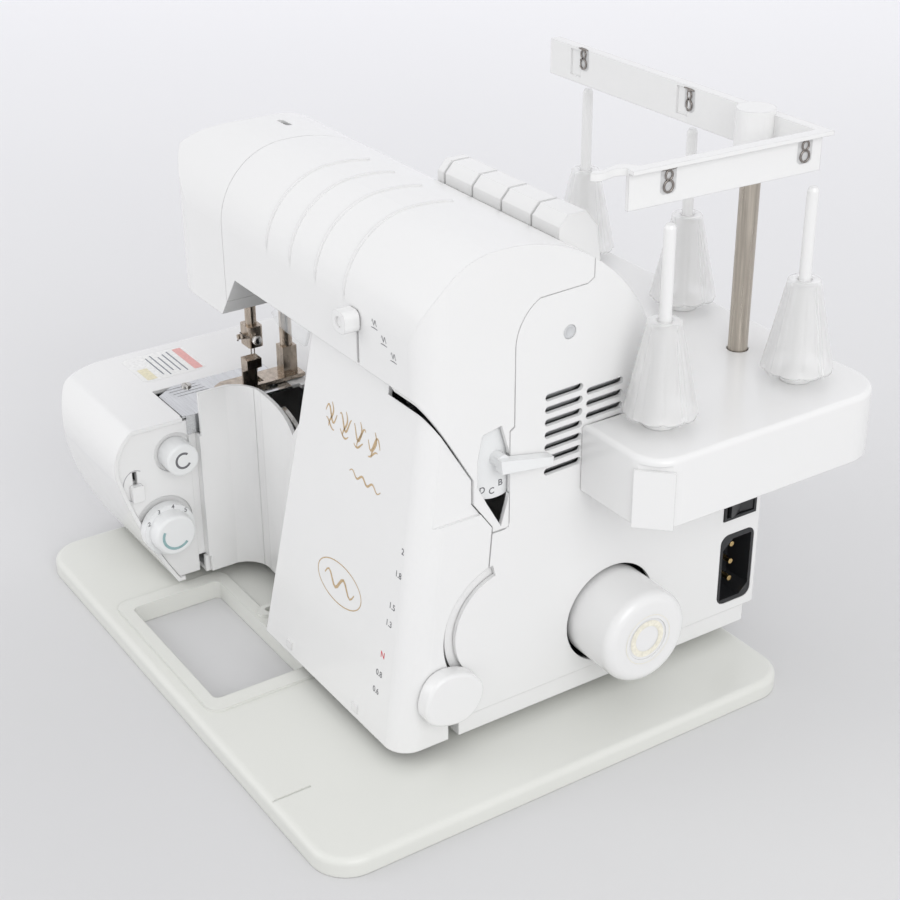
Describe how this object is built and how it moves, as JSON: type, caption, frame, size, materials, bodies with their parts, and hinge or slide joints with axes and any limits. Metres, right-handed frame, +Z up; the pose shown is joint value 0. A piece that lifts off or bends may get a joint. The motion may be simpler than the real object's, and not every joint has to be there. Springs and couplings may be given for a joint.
{
  "type": "serger overlock machine",
  "caption": "Table-top serger with looper cover, rounded arm, knob panel, spool stand with telescopic thread guide and handwheel, standing on a flat dust tray.",
  "frame": {"origin": "middle of the dust tray underside, on the table", "axes": "+X to the handwheel end, +Y to the rear where the spool stand is, +Z up"},
  "size_m": [0.4107, 0.36, 0.333],
  "materials": {
    "white": "glossy moulded plastic",
    "tray": "satin moulded plastic, slightly green",
    "rubber": "matt",
    "cast": "cast, satin",
    "steel": "brushed",
    "chrome": "polished",
    "brass": "bare",
    "bronze": "sintered",
    "black": "moulded",
    "grey": "moulded",
    "dial": "moulded, printed scale",
    "clear": "clear plastic",
    "frosted": "translucent ribbed plastic",
    "belt": "toothed belt"
  },
  "bodies": {
    "machine": {"dust_tray": "tray", "rubber_feet": "rubber", "base_pan": "white", "case_screws": "steel", "cover_hinge_rod": "steel", "chassis_frame": "cast", "shaft_bushes": "bronze", "needle_bar_bushes": "bronze", "bed_casing": "white", "knob_panel": "white", "needle_plate": "chrome", "plate_screws": "steel", "lower_knife": "steel", "side_casing": "white", "rear_casing": "white", "throat_cover": "white", "arm_cover": "white", "face_cover": "white", "thread_slit_block": "white", "tension_discs": "chrome", "spool_stand": "white", "corner_clip": "white", "spool_stand_base": "white", "spool_pins": "white", "cone_holders": "frosted", "guide_rod": "steel", "inlet_socket": "black", "inlet_pins": "brass", "switch_bezel": "black", "motor_body": "steel", "motor_bracket": "cast", "drive_belt": "belt", "lamp": "frosted"},
    "wheel": {"handwheel": "white", "main_shaft": "steel", "drive_pulley": "black"},
    "rotor": {"motor_pulley": "steel"},
    "looper_door": {"front_cover": "white"},
    "needle_assembly": {"needle_bar": "chrome", "needle_clamp": "chrome", "needles": "chrome"},
    "rocker_shaft": {"rock_shaft": "steel"},
    "presser": {"presser_bar": "chrome", "presser_foot": "chrome"},
    "lifter": {"presser_lifter": "grey"},
    "looper_up": {"upper_looper": "chrome"},
    "looper_low": {"lower_looper": "chrome"},
    "feed": {"feed_dogs": "steel"},
    "knife": {"upper_knife": "steel"},
    "length_dial": {"stitch_length_dial": "dial"},
    "width_knob": {"stitch_width_knob": "dial"},
    "slider": {"finger_slider": "grey"},
    "feed_lever": {"diff_feed_lever": "white"},
    "selector": {"stitch_selector": "dial"},
    "mode": {"mode_lever": "white"},
    "switch": {"power_rocker": "black"},
    "guide": {"guide_post": "steel", "guide_arm": "white", "guide_eyelets": "steel"},
    "guard": {"eye_guard": "clear"}
  },
  "joints": [
    {"name": "wheel_turn", "type": "hinge", "parent": "machine", "child": "wheel", "pos_m": [0.15, 0.058, 0.0623], "axis": [1, 0, 0], "continuous": true},
    {"name": "motor_turn", "type": "hinge", "parent": "machine", "child": "rotor", "pos_m": [0.1, 0.118, 0.0623], "axis": [1, 0, 0], "continuous": true},
    {"name": "cover_open", "type": "hinge", "parent": "machine", "child": "looper_door", "pos_m": [0.05, -0.078, 0.025], "axis": [1, 0, 0], "range_deg": [0, 78]},
    {"name": "needle_stroke", "type": "slide", "parent": "machine", "child": "needle_assembly", "axis": [0, 0, 1], "range_m": [-0.024, 0.004]},
    {"name": "rock_turn", "type": "hinge", "parent": "machine", "child": "rocker_shaft", "pos_m": [-0.12, 0.02, 0.254], "axis": [1, 0, 0], "range_deg": [-5, 27]},
    {"name": "lifter_turn", "type": "hinge", "parent": "machine", "child": "lifter", "pos_m": [-0.112, 0.03, 0.212], "axis": [0, 1, 0], "range_deg": [0, 60]},
    {"name": "presser_lift", "type": "slide", "parent": "machine", "child": "presser", "axis": [0, 0, 1], "range_m": [0, 0.0067]},
    {"name": "upper_looper_swing", "type": "hinge", "parent": "machine", "child": "looper_up", "pos_m": [-0.07, -0.025, 0.084], "axis": [1, 0, 0], "range_deg": [-8, 8]},
    {"name": "lower_looper_swing", "type": "hinge", "parent": "machine", "child": "looper_low", "pos_m": [-0.06, 0.006, 0.062], "axis": [1, 0, 0], "range_deg": [-8, 8]},
    {"name": "feed_stroke", "type": "slide", "parent": "machine", "child": "feed", "axis": [0, 1, 0], "range_m": [-0.003, 0.003]},
    {"name": "knife_stroke", "type": "slide", "parent": "machine", "child": "knife", "axis": [0, 0, 1], "range_m": [-0.006, 0.001]},
    {"name": "length_dial_turn", "type": "hinge", "parent": "machine", "child": "length_dial", "pos_m": [-0.09, -0.1094, 0.0599], "axis": [1, 0, 0], "range_deg": [-150, 120]},
    {"name": "width_knob_turn", "type": "hinge", "parent": "machine", "child": "width_knob", "pos_m": [-0.09, -0.0988, 0.1078], "axis": [1, 0, 0], "range_deg": [-90, 90]},
    {"name": "finger_slide", "type": "slide", "parent": "machine", "child": "slider", "axis": [0, 0, 1], "range_m": [-0.001, 0.009]},
    {"name": "feed_lever_turn", "type": "hinge", "parent": "machine", "child": "feed_lever", "pos_m": [0.12, -0.014, 0.081], "axis": [1, 0, 0], "range_deg": [-95, 0]},
    {"name": "selector_turn", "type": "hinge", "parent": "machine", "child": "selector", "pos_m": [0.12, -0.02, 0.184], "axis": [1, 0, 0], "range_deg": [-20, 40]},
    {"name": "mode_slide", "type": "slide", "parent": "machine", "child": "mode", "axis": [0, 0, 1], "range_m": [-0.014, 0]},
    {"name": "switch_rock", "type": "hinge", "parent": "machine", "child": "switch", "pos_m": [0.138, 0.1535, 0.1023], "axis": [0, 0, 1], "range_deg": [-14, 0]},
    {"name": "guide_extend", "type": "slide", "parent": "machine", "child": "guide", "axis": [0, 0, 1], "range_m": [-0.025, 0]},
    {"name": "guard_swing", "type": "hinge", "parent": "machine", "child": "guard", "pos_m": [-0.006, -0.056, 0.222], "axis": [1, 0, 0], "range_deg": [-70, 0]}
  ],
  "couplings": [
    {"joint": "motor_turn", "follows": "wheel_turn", "ratio": 3.1111},
    {"joint": "rock_turn", "follows": "needle_stroke", "rad_per_m": -19.2},
    {"joint": "knife_stroke", "follows": "needle_stroke", "ratio": 0.25},
    {"joint": "lifter_turn", "follows": "presser_lift", "rad_per_m": 156.25},
    {"joint": "lower_looper_swing", "follows": "upper_looper_swing", "ratio": -1}
  ]
}
